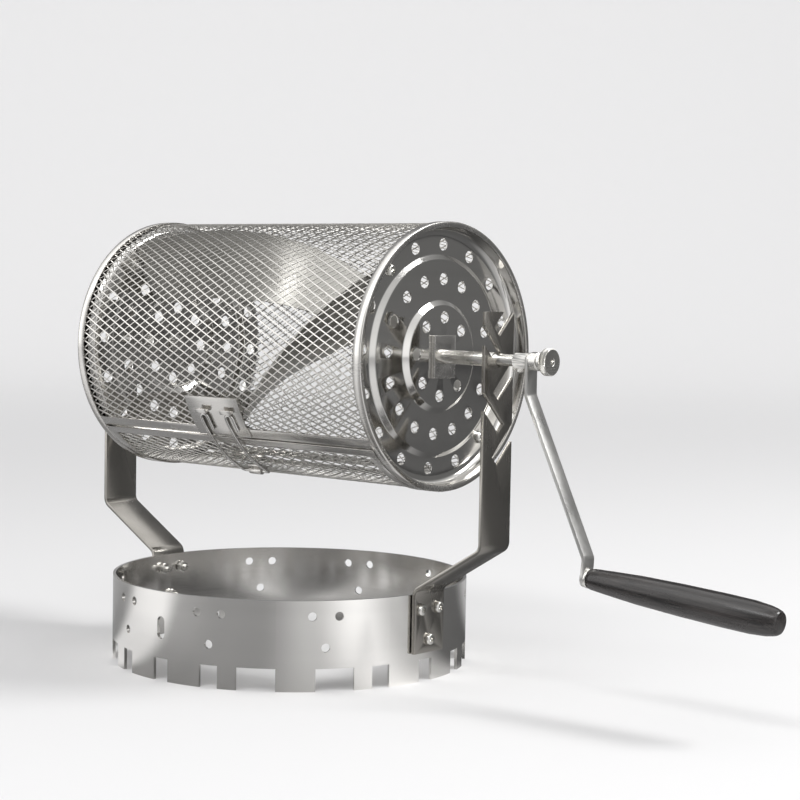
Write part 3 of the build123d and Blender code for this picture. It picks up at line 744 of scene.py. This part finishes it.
# ---------------------------------------------------------------- base
@dataclass
class Base(Fastened):
    """The ring that stands round the burner, the two arms and their fasteners."""

    radius: float = RING_RADIUS
    wall: float = 1.5
    height: float = 43.5
    notch: float = 11.0
    unit: float = 6.0
    hole: float = 4.3
    spacing: float = 13.0
    high: float = 36.0
    low: float = 21.0

    def triangle(self) -> tuple[Flat, ...]:
        """Offset across and level of the three holes of a group."""
        return (-self.spacing / 2, self.high), (self.spacing / 2, self.high), (0.0, self.low)

    def around(self, angle: float, level: float, radius: float) -> Vector:
        """Point on the ring at an angle counted from the front towards the crank."""
        return Vector((radius * sin(radians(angle)), -radius * cos(radians(angle)), level))

    def notches(self) -> Iterable[bpy.types.Object]:
        """Blocks that cut the castellated edge."""
        for quarter in range(4):
            for centre, width in ((0, 1), (3, 1), (5.5, 2), (9.5, 2), (12, 1)):
                angle = quarter * 90 + centre * self.unit
                size = 2 * self.radius * sin(radians(width * self.unit / 2))
                frame = Matrix.Rotation(radians(angle), 3, "Z")
                middle = self.around(angle, self.notch / 2 - self.wall, self.radius - self.wall / 2)
                depth = self.notch + 2 * self.wall
                yield self.bench.block("notch", middle, (size, 8 * self.wall, depth), frame)

    def holes(self) -> Iterable[bpy.types.Object]:
        """Rods that cut the triangles of small holes."""
        for group in range(10):
            angle = 18 + 36 * group
            across = Vector((cos(radians(angle)), sin(radians(angle)), 0.0))
            for offset, level in self.triangle():
                outer = self.around(angle, level, self.radius + 4) + across * offset
                inner = self.around(angle, level, self.radius - 8) + across * offset
                yield self.bench.rod("hole", inner, outer, self.hole / 2, 28)

    def ring(self) -> bpy.types.Object:
        """The rolled strip with its teeth, holes and upright vent."""
        bench = self.bench
        bench.clear_selection()
        bpy.ops.mesh.primitive_cylinder_add(vertices=360, radius=self.radius * MM, depth=self.height * MM,
                                            end_fill_type="NOTHING", location=(0, 0, self.height / 2 * MM))
        ring = bench.settle(bench.take("ring_wall"))
        bench.modify(ring, "SOLIDIFY", thickness=self.wall * MM, offset=-1.0)
        vent_parts = [bench.block("vent", self.around(0, 26.0, self.radius), (5.0, 10.0, 6.0))]
        for name, level in (("vent_top", 29.0), ("vent_low", 23.0)):
            ends = [self.around(0, level, self.radius + reach) for reach in (-5, 5)]
            vent_parts.append(bench.rod(name, *ends, 2.5, 40))
        bench.cut(ring, [*self.notches(), *self.holes()])
        for part in vent_parts:
            bench.cut(ring, [part])
        return bench.smooth(ring)

    def build(self) -> None:
        """Make and hand over every piece of the base."""
        bench = self.bench
        self.hand_over(self.ring(), Body.BASE, RING_STEEL, "base_ring")
        for side, node in ((Side.CRANK, "right_arm"), (Side.IDLE, "left_arm")):
            arm = bench.copy_node(f"{side.name.lower()}_side_arm", self.nodes[node], 0.25)
            self.hand_over(arm, Body.BASE, ARM_STEEL, node)
        screws, nuts = [], []
        for sign in (1, -1):
            way = Vector((float(sign), 0.0, 0.0))
            for offset, level in self.triangle():
                screws.append(self.pan_screw(Vector((sign * FOOT_FACE, offset, level)), way, 9.0))
                edge = abs(offset) + NUT_ACROSS / sqrt(3)
                inner = sqrt((self.radius - self.wall) ** 2 - edge ** 2) - 0.02
                nuts.append(self.nut(Vector((sign * inner, offset, level)), -way))
        for name, pieces, node in (("foot_screws", screws, "arm_bolts"), ("foot_nuts", nuts, "arm_nuts")):
            self.hand_over(bench.smooth(bench.join(name, pieces)), Body.BASE, TURNED_STEEL, node)


# ---------------------------------------------------------------- drum
@dataclass
class Drum(Fastened):
    """The mesh cylinder with its dishes, hoops, vanes, axles and latch plate."""

    mesh_radius: float = 64.1
    mesh_thick: float = 0.3
    long_way: float = 7.47
    short_way: float = 4.2
    strand: float = 0.56
    tilt: float = 0.14
    slant: float = 0.065
    flange: float = 62.9

    def sheet_of_diamonds(self, name: str, length: float, arc: float) -> bpy.types.Object:
        """Flat sheet of diamond cells, larger than the part that is needed.

        Args:
            name: the piece's name.
            length: the needed length along the axle.
            arc: the needed length round the drum.

        Returns:
            The sheet, one face for each diamond.
        """
        bench = self.bench
        columns = ceil(length / self.long_way) + 6
        rows = ceil((arc + self.slant * length) / self.short_way) + 4
        bench.clear_selection()
        bpy.ops.mesh.primitive_grid_add(x_subdivisions=columns, y_subdivisions=rows, size=1.0)
        piece = bench.take(name)
        piece.scale = (columns * self.long_way * MM, rows * self.short_way * MM, 1.0)
        bench.settle(piece)
        bench.edit(piece, lambda: bpy.ops.mesh.poke())
        for edge in piece.data.edges:
            start, end = (piece.data.vertices[i].co for i in edge.vertices)
            edge.select = min(abs(start.x - end.x), abs(start.y - end.y)) < 0.1 * MM
        for part in (*piece.data.polygons, *piece.data.vertices):
            part.select = False
        bench.pick(piece)
        bpy.context.tool_settings.mesh_select_mode = (False, True, False)
        bpy.ops.object.mode_set(mode="EDIT")
        bpy.ops.mesh.dissolve_edges(use_verts=False)
        bpy.ops.object.mode_set(mode="OBJECT")
        return piece

    def lattice(self, name: str, x_low: float, x_high: float, low: float, high: float) -> bpy.types.Object:
        """Expanded metal rolled round the drum, its strands tilted like louvres.

        Args:
            name: the piece's name.
            x_low: its end away from the crank.
            x_high: its end at the crank.
            low: the angle where it starts.
            high: the angle where it ends.

        Returns:
            The lattice, trimmed to its edges.
        """
        bench = self.bench
        length = x_high - x_low
        arc = radians(high - low) * self.mesh_radius
        piece = self.sheet_of_diamonds(name, length, arc)
        bench.pick(piece)
        bpy.ops.object.mode_set(mode="EDIT")
        bpy.context.tool_settings.mesh_select_mode = (False, False, True)
        bpy.ops.mesh.select_all(action="SELECT")
        bpy.ops.mesh.inset(thickness=self.strand / 2 * MM, use_individual=True, use_even_offset=True)
        bpy.ops.object.mode_set(mode="OBJECT")
        lift = {}
        for face in piece.data.polygons:
            if face.select:
                for index in face.vertices:
                    rise = piece.data.vertices[index].co.y - face.center.y
                    lift[index] = self.tilt * rise / (self.short_way / 2 * MM) * MM
        for index, height in lift.items():
            piece.data.vertices[index].co.z = height
        bench.pick(piece)
        bpy.ops.object.mode_set(mode="EDIT")
        bpy.ops.mesh.delete(type="FACE")
        bpy.context.tool_settings.mesh_select_mode = (True, False, False)
        bpy.ops.object.mode_set(mode="OBJECT")
        for vertex in piece.data.vertices:
            vertex.co.y += self.slant * vertex.co.x
        for edge, way in ((length / 2, (1, 0, 0)), (-length / 2, (-1, 0, 0)), (arc / 2, (0, 1, 0)),
                          (-arc / 2, (0, -1, 0))):
            place = tuple(abs(part) * edge * MM for part in way)
            bench.edit(piece, lambda: bpy.ops.mesh.bisect(plane_co=place, plane_no=way, clear_outer=True))
        for vertex in piece.data.vertices:
            angle = (low + high) / 2 + degrees(vertex.co.y / MM / self.mesh_radius)
            radius = self.mesh_radius - self.mesh_thick / 2 + vertex.co.z / MM
            vertex.co = on_drum(vertex.co.x / MM + (x_low + x_high) / 2, radius, angle) * MM
        bench.modify(piece, "SOLIDIFY", thickness=self.mesh_thick * MM, offset=0.0)
        bench.edit(piece, lambda: bpy.ops.mesh.normals_make_consistent(inside=False))
        return piece

    def dish(self, side: Side) -> bpy.types.Object:
        """Pressed end plate with two rounded steps and three rings of holes."""
        edge = RIM_RIGHT if side is Side.CRANK else RIM_LEFT
        inward = Vector((-float(side.value), 0.0, 0.0))
        floor = [(4.2, 3.5), (4.2, 24.2), (4.4, 25.0), (6.2, 27.0), (6.4, 27.8), (6.4, 46.2), (6.6, 47.0),
                 (7.9, 49.0), (8.1, 49.8), (8.1, 58.0), (7.9, 59.6), (7.1, 61.0), (5.9, 61.9), (4.4, 62.15)]
        front = [*floor, (0.8, 62.15)]
        back = [(depth + 0.75, radius - 0.15) for depth, radius in floor if radius < 58.5]
        back += [(8.6, 60.0), (7.7, 61.6), (6.3, 62.7), (4.5, self.flange)]
        profile = front + [(0.8, self.flange)] + back[::-1]
        plate = self.bench.lathe(f"{side.name.lower()}_side_dish", profile,
                                 Vector((edge, 0.0, AXLE_HEIGHT)), inward, 240, LATHE_UP)
        cutters = []
        for radius, count in ((19.0, 8), (37.5, 16), (BOLT_RING, 16)):
            for index in range(count):
                angle = 4.5 + 360 / count * index
                bolted = radius > 50 and round(angle % 180, 2) == 139.5
                middle = on_drum(edge, radius, angle)
                cutters.append(self.bench.rod("hole", middle, middle + inward * 14,
                                              1.7 if bolted else 3.0, 32))
        self.bench.cut(plate, cutters)
        return self.bench.smooth(plate, 28)

    def hoop(self, side: Side) -> bpy.types.Object:
        """Rolled rim with rounded outer edge."""
        edge = RIM_RIGHT if side is Side.CRANK else RIM_LEFT
        inward = Vector((-float(side.value), 0.0, 0.0))
        profile = [(4.5, 64.3), (4.5, 64.85), (4.3, 65.0), (0.6, 65.0), (0.25, 64.9), (0.05, 64.6),
                   (0.0, 64.2),
                   (0.0, 62.6), (0.1, 62.42), (0.3, 62.4), (0.65, 62.5), (0.7, 62.8), (0.7, 64.0),
                   (0.9, 64.3)]
        hoop = self.bench.lathe(f"{side.name.lower()}_side_hoop", profile,
                                Vector((edge, 0.0, AXLE_HEIGHT)), inward, 240, LATHE_UP)
        return self.bench.smooth(hoop, 50)

    def vane(self, name: str, start: float) -> bpy.types.Object:
        """Twisted blade with a bolted tab at each end.

        Args:
            name: the piece's name.
            start: its angle at the end away from the crank.

        Returns:
            The blade with its tabs.
        """
        bench = self.bench
        left, right = -83.8, 92.8
        inner, outer, twist = 25.0, 60.8, 166.0
        bench.clear_selection()
        bpy.ops.mesh.primitive_grid_add(x_subdivisions=120, y_subdivisions=6, size=1.0)
        blade = bench.take(name)
        for vertex in blade.data.vertices:
            share = vertex.co.x + 0.5
            radius = inner + (outer - inner) * (vertex.co.y + 0.5)
            vertex.co = on_drum(left + (right - left) * share, radius, start + twist * share) * MM
        bench.modify(blade, "SOLIDIFY", thickness=1.0 * MM, offset=0.0)
        bench.edit(blade, lambda: bpy.ops.mesh.normals_make_consistent(inside=False))
        tabs = []
        for angle, x, way in ((start, left + 0.3, -1), (start + twist, right - 0.3, 1)):
            bolt_angle = angle + way * 7.0
            frame = Matrix.Rotation(radians(-bolt_angle), 3, "X")
            middle = on_drum(x, BOLT_RING, angle + way * 6.6)
            tab = bench.block("tab", middle, (1.0, 12.0, 11.0), frame)
            bench.bevel(tab, 0.3, 2)
            tabs.append(tab)
        return bench.smooth(bench.join(name, [blade, *tabs]))

    def build(self) -> None:
        """Make and hand over every piece that turns with the drum."""
        bench = self.bench
        lattice = self.lattice("drum_lattice", -92.2, 101.2, 230.2, 516.4)
        self.hand_over(lattice, Body.DRUM, LATTICE_STEEL, "drum_mesh")
        for side, word in ((Side.CRANK, "right"), (Side.IDLE, "left")):
            self.hand_over(self.dish(side), Body.DRUM, DISH_STEEL, f"{word}_end_plate")
            self.hand_over(self.hoop(side), Body.DRUM, SHEET_STEEL, f"{word}_rim")
            hub = bench.copy_node(f"{side.name.lower()}_side_hub", self.nodes[f"{word}_hub_plate"], 0.35, 3)
            self.hand_over(hub, Body.DRUM, SHEET_STEEL, f"{word}_hub_plate")
        for side, start in (("front", 146.5), ("back", 326.5)):
            # The vanes take the darkened copy of the sheet steel, painted shade for their place inside the
            # drum.
            self.hand_over(self.vane(f"{side}_blade", start), Body.DRUM, SHADED_VANE_STEEL, f"{side}_vane")
        screws, nuts = [], []
        for sign, plate in ((1, RIM_RIGHT - DISH_DEPTH), (-1, RIM_LEFT + DISH_DEPTH)):
            way = Vector((float(sign), 0.0, 0.0))
            for angle in (139.5, 319.5):
                screws.append(self.pan_screw(on_drum(plate + sign * 0.02, BOLT_RING, angle), way, 6.5))
                nuts.append(self.nut(on_drum(plate - sign * 1.86, BOLT_RING, angle), -way))
        for name, pieces, node in (("plate_screws", screws, "vane_bolts"), ("plate_nuts", nuts, "vane_nuts")):
            self.hand_over(bench.smooth(bench.join(name, pieces)), Body.DRUM, TURNED_STEEL, node)
        for node, name, width, finish in (
                ("crank_axle", "crank_side_axle", 0.25, TURNED_STEEL),
                ("idle_axle", "idle_side_axle", 0.25, TURNED_STEEL),
                ("front_strip", "drum_edge_strip", 0.15, SHEET_STEEL),
                ("hinge_strip", "hinge_edge_strip", 0.15, SHEET_STEEL),
                ("latch_bracket", "latch_plate", 0.15, SHEET_STEEL),
                ("crank_arm", "crank_strip", 0.3, CRANK_STEEL),
                ("handle_spindle", "handle_rivet", 0.25, TURNED_STEEL),
                ("handle_washer", "handle_ferrule", 0.3, TURNED_STEEL)):
            self.hand_over(bench.copy_node(name, self.nodes[node], width), Body.DRUM, finish, node)


# ---------------------------------------------------------------- door
@dataclass
class Door(Assembly):
    """The hinged flap with its frame, mesh, pins and the bail that holds it shut."""

    def build(self) -> None:
        """Make and hand over the door, its clip and the bail."""
        bench = self.bench
        drum = Drum(bench, self.nodes)
        lattice = drum.lattice("door_lattice", -87.6, 96.6, 160.6, 228.7)
        self.hand_over(lattice, Body.DOOR, LATTICE_STEEL, "door_mesh")
        for node, name, width, finish in (
                ("door_frame", "door_edge_frame", 0.15, SHEET_STEEL),
                ("hinge_pins", "door_pins", 0.2, TURNED_STEEL),
                ("bail_lug", "bail_clip", 0.15, SHEET_STEEL)):
            self.hand_over(bench.copy_node(name, self.nodes[node], width), Body.DOOR, finish, node)
        self.hand_over(bench.smooth(self.bail(), 60), Body.BAIL, WIRE_STEEL, "latch_bail")

    def bail(self) -> bpy.types.Object:
        """One bent wire: a crossbar in the clip, two legs and a hairpin at the end of each."""
        ring, low, top, reach = 66.75, 204.0, 240.2, 2.4
        turn = degrees(1 / ring)
        points = []
        for leg, order in ((-7.5, -1), (9.5, 1)):
            side = [on_drum(leg, ring, low + share * (top - low))
                    for share in (0.04, 0.1, 0.3, 0.5, 0.7, 0.9, 1.0)]
            side += [on_drum(leg + reach - reach * cos(radians(step)), ring,
                             top + reach * sin(radians(step)) * turn)
                     for step in range(20, 180, 20)]
            side += [on_drum(leg + 2 * reach, ring, top - drop * turn) for drop in (0.0, 2.5, 5.0, 6.9)]
            points += side[::order]
        middle = len(points) // 2
        corners = [on_drum(x, ring, low) for x in (-7.45, -6.8, -4.0, 1.0, 6.0, 8.8, 9.45)]
        return self.bench.wire("wire_bail", points[:middle] + corners + points[middle:], 0.78)


# ---------------------------------------------------------------- handle and screws
@dataclass
class Handle(Assembly):
    """The turned grip, the thumb screw and the loose bush."""

    droop: float = 4.7

    def grip(self) -> bpy.types.Object:
        """Turned grip with a flat end."""
        way = Vector((cos(radians(self.droop)), 0.0, -sin(radians(self.droop))))
        root = Vector((184.76, 0.0, 61.5)) + way * (0.9 + 1.62)
        stations = ((0.0, 4.3), (0.25, 4.6), (2.0, 4.95), (5.9, 5.25), (13.7, 5.8), (26.5, 6.6), (49.0, 7.25),
                    (70.6, 7.5), (84.3, 7.4), (92.0, 6.75), (95.2, 6.1), (97.0, 5.5), (97.8, 4.9),
                    (98.0, 4.4))
        profile = [(0.0, 1.6), *stations, (98.0, 0.0), (85.0, 0.0), (85.0, 1.6)]
        grip = self.bench.lathe("turned_grip", profile, root, way, 72)
        return self.bench.smooth(grip, 40)

    def thumb_screw(self) -> bpy.types.Object:
        """Thumb screw with a grooved neck and a knurled head."""
        bench = self.bench
        start = Vector((151.85, 0.0, AXLE_HEIGHT))
        way = Vector((1.0, 0.0, 0.0))
        neck = [(-9.5, 0.0), (-9.5, 1.3), (-9.2, 1.5), (0.0, 1.5), (0.0, 4.2), (0.25, 4.4), (3.9, 4.4),
                (4.1, 4.2),
                (4.4, 3.75), (5.5, 3.75), (5.8, 4.2), (6.0, 4.4), (7.4, 4.4), (7.4, 0.0)]
        body = bench.lathe("neck", neck, start, way, 64, LATHE_UP)
        head = [(7.4, 0.0), (7.4, 5.9), (7.8, 6.35), (8.0, 6.45), (10.6, 6.45), (10.8, 6.35),
                (11.2, 5.9), (11.2, 1.9),
                (11.05, 1.75), (11.05, 1.2), (9.5, 0.8), (8.5, 0.0)]
        knob = bench.lathe("knob", head, start, way, 120, LATHE_UP)
        knurl_from, knurl_depth, knurl_turn = 6.2, 0.38, 3.0
        for vertex in knob.data.vertices:
            place = vertex.co / MM - Vector((0.0, 0.0, AXLE_HEIGHT))
            radius = hypot(place.y, place.z)
            step = round(degrees(atan2(place.y, place.z)) / knurl_turn)
            if radius > knurl_from and step % 2:
                shrink = (radius - knurl_depth) / radius
                vertex.co = Vector((place.x, place.y * shrink, place.z * shrink + AXLE_HEIGHT)) * MM
        return bench.smooth(bench.join("knurled_screw", [body, knob]), 30)

    def build(self) -> None:
        """Make and hand over grip, screw and bush."""
        self.hand_over(self.grip(), Body.GRIP, GRIP_FINISH, "handle_grip")
        self.hand_over(self.thumb_screw(), Body.SCREW, TURNED_STEEL, "thumb_screw")
        bush = self.bench.copy_node("pale_bush_sleeve", self.nodes["spacer_bush"], 0.3)
        self.hand_over(bush, Body.BUSH, BUSH_FINISH, "spacer_bush")


# ---------------------------------------------------------------- stage
@dataclass
class Studio:
    """Camera, floor, backdrop and soft lamps."""

    focal: float = 1953.0
    yaw: float = 40.02
    pitch: float = 3.64
    roll: float = 1.04
    distance: float = 1006.0
    offset: Flat = (55.0, 3.7)
    aim: Point = (0.0, 0.0, 130.0)
    image: float = 800.0
    sensor: float = 36.0
    paper: tuple[float, ...] = (0.80, 0.797, 0.795, 1.0)
    paper_share: float = 1.0
    room_share: float = 1.7
    far_glow: float = 0.25
    room: tuple[float, ...] = (0.68, 0.68, 0.69, 1.0)
    view: tuple[float, ...] = (0.78, 0.78, 0.785, 1.0)
    ceiling: float = 0.9
    bands: tuple[Flat, ...] = (
        (0.0, 0.36), (0.06, 0.36), (0.095, 1.0), (0.16, 1.0), (0.195, 0.36), (0.27, 0.28), (0.33, 0.26),
        (0.4, 0.5), (0.47, 0.95), (0.54, 0.5), (0.6, 0.12), (0.69, 0.11), (0.76, 0.45), (0.83, 0.24),
        (0.91, 0.5), (1.0, 0.36))

    def camera(self) -> None:
        """Stand the camera where the photograph was taken."""
        yaw, pitch, roll = radians(self.yaw), radians(self.pitch), radians(self.roll)
        ahead = Vector((-sin(yaw) * cos(pitch), cos(yaw) * cos(pitch), -sin(pitch)))
        right = Vector((cos(yaw), sin(yaw), 0.0))
        up = right.cross(ahead)
        level = cos(roll) * right + sin(roll) * up
        upright = -sin(roll) * right + cos(roll) * up
        target = Vector(self.aim) + right * self.offset[0] + up * self.offset[1]
        bpy.ops.object.camera_add()
        camera = bpy.context.object
        camera.data.sensor_width = self.sensor
        camera.data.lens = self.focal / self.image * self.sensor
        camera.data.clip_start = 0.05
        camera.data.clip_end = 50.0
        turn = Matrix((level, upright, -ahead)).transposed().to_4x4()
        camera.matrix_world = Matrix.Translation((target - ahead * self.distance) * MM) @ turn
        bpy.context.scene.camera = camera

    def backdrop(self, bench: Bench) -> None:
        """Pale sweep: a floor that curves up into a wall behind the object."""
        bench.clear_selection()
        bpy.ops.mesh.primitive_plane_add(size=1.0)
        sweep = bench.take("sweep")
        sweep.scale = (8.0, 6.0, 1.0)
        sweep.location = (0.0, -0.6, 0.0)
        bench.settle(sweep)
        angle = radians(self.yaw)
        sweep.rotation_euler = (0.0, 0.0, angle)
        bench.settle(sweep)
        far = Vector((-sin(angle), cos(angle), 0.0))
        bench.pick(sweep)
        for vertex in sweep.data.vertices:
            vertex.select = vertex.co.dot(far) > 0
        for edge in sweep.data.edges:
            edge.select = all(sweep.data.vertices[i].select for i in edge.vertices)
        for face in sweep.data.polygons:
            face.select = False
        bpy.ops.object.mode_set(mode="EDIT")
        bpy.context.tool_settings.mesh_select_mode = (False, True, False)
        radius, steps, wall_height = 1.2, 12, 3.0
        for index in range(steps):
            lean = radians(90 / steps * (index + 0.5))
            move = (far * cos(lean) + Vector((0.0, 0.0, sin(lean)))) * (radius * radians(90 / steps))
            bpy.ops.mesh.extrude_edges_move(TRANSFORM_OT_translate={"value": tuple(move)})
        bpy.ops.mesh.extrude_edges_move(TRANSFORM_OT_translate={"value": (0.0, 0.0, wall_height)})
        bpy.context.tool_settings.mesh_select_mode = (True, False, False)
        bpy.ops.object.mode_set(mode="OBJECT")
        bench.smooth(sweep, 60)
        sweep.data.materials.append(self.paint())

    def paint(self) -> bpy.types.Material:
        """Pale paper that keeps shadows, evens out far away and mirrors as bands of light."""
        paint = bpy.data.materials.new("pale_paper")
        paint.use_nodes = True
        nodes, links = paint.node_tree.nodes, paint.node_tree.links
        shader = nodes["Principled BSDF"]
        shader.inputs["Roughness"].default_value = 0.9
        shader.inputs["Specular IOR Level"].default_value = 0.0
        shader.inputs["Emission Color"].default_value = (1.0, 1.0, 1.0, 1.0)
        place = nodes.new("ShaderNodeTexCoord")
        path = nodes.new("ShaderNodeLightPath")
        bands = group_node(nodes, EFFECTS.room_bands(self.bands))
        links.new(place.outputs["Object"], bands.inputs["Position"])
        dim = math_node(nodes, "MULTIPLY", self.paper_share)
        links.new(bands.outputs["Level"], dim.inputs[0])
        tone = nodes.new("ShaderNodeMix")
        tone.data_type = "RGBA"
        tone.inputs["A"].default_value = self.paper
        links.new(dim.outputs[0], tone.inputs["B"])
        links.new(path.outputs["Is Glossy Ray"], tone.inputs["Factor"])
        links.new(tone.outputs["Result"], shader.inputs["Base Color"])
        away = nodes.new("ShaderNodeVectorMath")
        away.operation = "LENGTH"
        links.new(place.outputs["Object"], away.inputs[0])
        fade = nodes.new("ShaderNodeMapRange")
        fade.interpolation_type = "SMOOTHSTEP"
        fade.inputs["From Min"].default_value = 0.45
        fade.inputs["From Max"].default_value = 3.2
        fade.inputs["To Max"].default_value = self.far_glow
        links.new(away.outputs["Value"], fade.inputs["Value"])
        glow = math_node(nodes, "MULTIPLY")
        links.new(fade.outputs["Result"], glow.inputs[0])
        links.new(path.outputs["Is Camera Ray"], glow.inputs[1])
        links.new(glow.outputs[0], shader.inputs["Emission Strength"])
        return paint

    def lamp(self, name: str, place: Point, aim: Point, size: Flat, power: float) -> None:
        """Soft rectangular lamp.

        Args:
            name: the lamp's name.
            place: where it hangs, in metres.
            aim: the point that it faces, in metres.
            size: its width and height in metres.
            power: its power in watts.
        """
        bpy.ops.object.light_add(type="AREA", location=place)
        lamp = bpy.context.object
        lamp.name = name
        lamp.data.shape = "RECTANGLE"
        lamp.data.size, lamp.data.size_y = size
        lamp.data.energy = power
        lamp.rotation_euler = (Vector(aim) - Vector(place)).to_track_quat("-Z", "Y").to_euler()

    def world(self) -> None:
        """Even light for the floor, a pale view, and for mirrored rays a darker room with bands."""
        world = bpy.data.worlds.new("studio")
        bpy.context.scene.world = world
        world.use_nodes = True
        nodes, links = world.node_tree.nodes, world.node_tree.links
        room = nodes["Background"]
        path = nodes.new("ShaderNodeLightPath")
        seen = nodes.new("ShaderNodeMix")
        seen.data_type = "RGBA"
        seen.inputs["A"].default_value = self.room
        seen.inputs["B"].default_value = self.view
        links.new(path.outputs["Is Camera Ray"], seen.inputs["Factor"])
        links.new(seen.outputs["Result"], room.inputs["Color"])
        place = nodes.new("ShaderNodeTexCoord")
        bands = group_node(nodes, EFFECTS.room_bands(self.bands))
        links.new(place.outputs["Generated"], bands.inputs["Position"])
        split = nodes.new("ShaderNodeSeparateXYZ")
        links.new(place.outputs["Generated"], split.inputs[0])
        overhead = nodes.new("ShaderNodeMapRange")
        overhead.interpolation_type = "SMOOTHSTEP"
        overhead.inputs["From Min"].default_value = 0.35
        overhead.inputs["From Max"].default_value = 0.85
        overhead.inputs["To Max"].default_value = self.ceiling
        links.new(split.outputs[2], overhead.inputs["Value"])
        total = math_node(nodes, "MULTIPLY_ADD", self.room_share)
        links.new(bands.outputs["Level"], total.inputs[0])
        links.new(overhead.outputs["Result"], total.inputs[2])
        mirrored = nodes.new("ShaderNodeBackground")
        links.new(total.outputs[0], mirrored.inputs["Color"])
        choice = nodes.new("ShaderNodeMixShader")
        links.new(path.outputs["Is Glossy Ray"], choice.inputs["Fac"])
        links.new(room.outputs[0], choice.inputs[1])
        links.new(mirrored.outputs[0], choice.inputs[2])
        links.new(choice.outputs[0], nodes["World Output"].inputs["Surface"])

    def light(self) -> None:
        """Hang the lamps and set the world."""
        self.lamp("key_right", (1.15, 0.75, 1.35), (0.0, 0.0, 0.1), (0.55, 0.55), 18.0)
        self.lamp("fill_left", (-1.6, -1.2, 0.9), (0.0, 0.0, 0.1), (0.4, 1.6), 1.5)
        self.lamp("top_strip", (0.3, -0.95, 1.2), (0.1, 0.0, 0.1), (1.3, 0.22), 5.5)
        self.world()
        bpy.context.scene.view_settings.view_transform = "Standard"


def main() -> None:
    """Build the looks in order."""
    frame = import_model()
    bench = Bench()
    for group in (Base, Drum, Door, Handle):
        made = group(bench, frame["nodes"])
        made.build()
        log.info("%s done, %d pieces", group.__name__, made.count)
    studio = Studio()
    studio.camera()
    studio.backdrop(bench)
    studio.light()


if __name__ == "__main__":
    main()
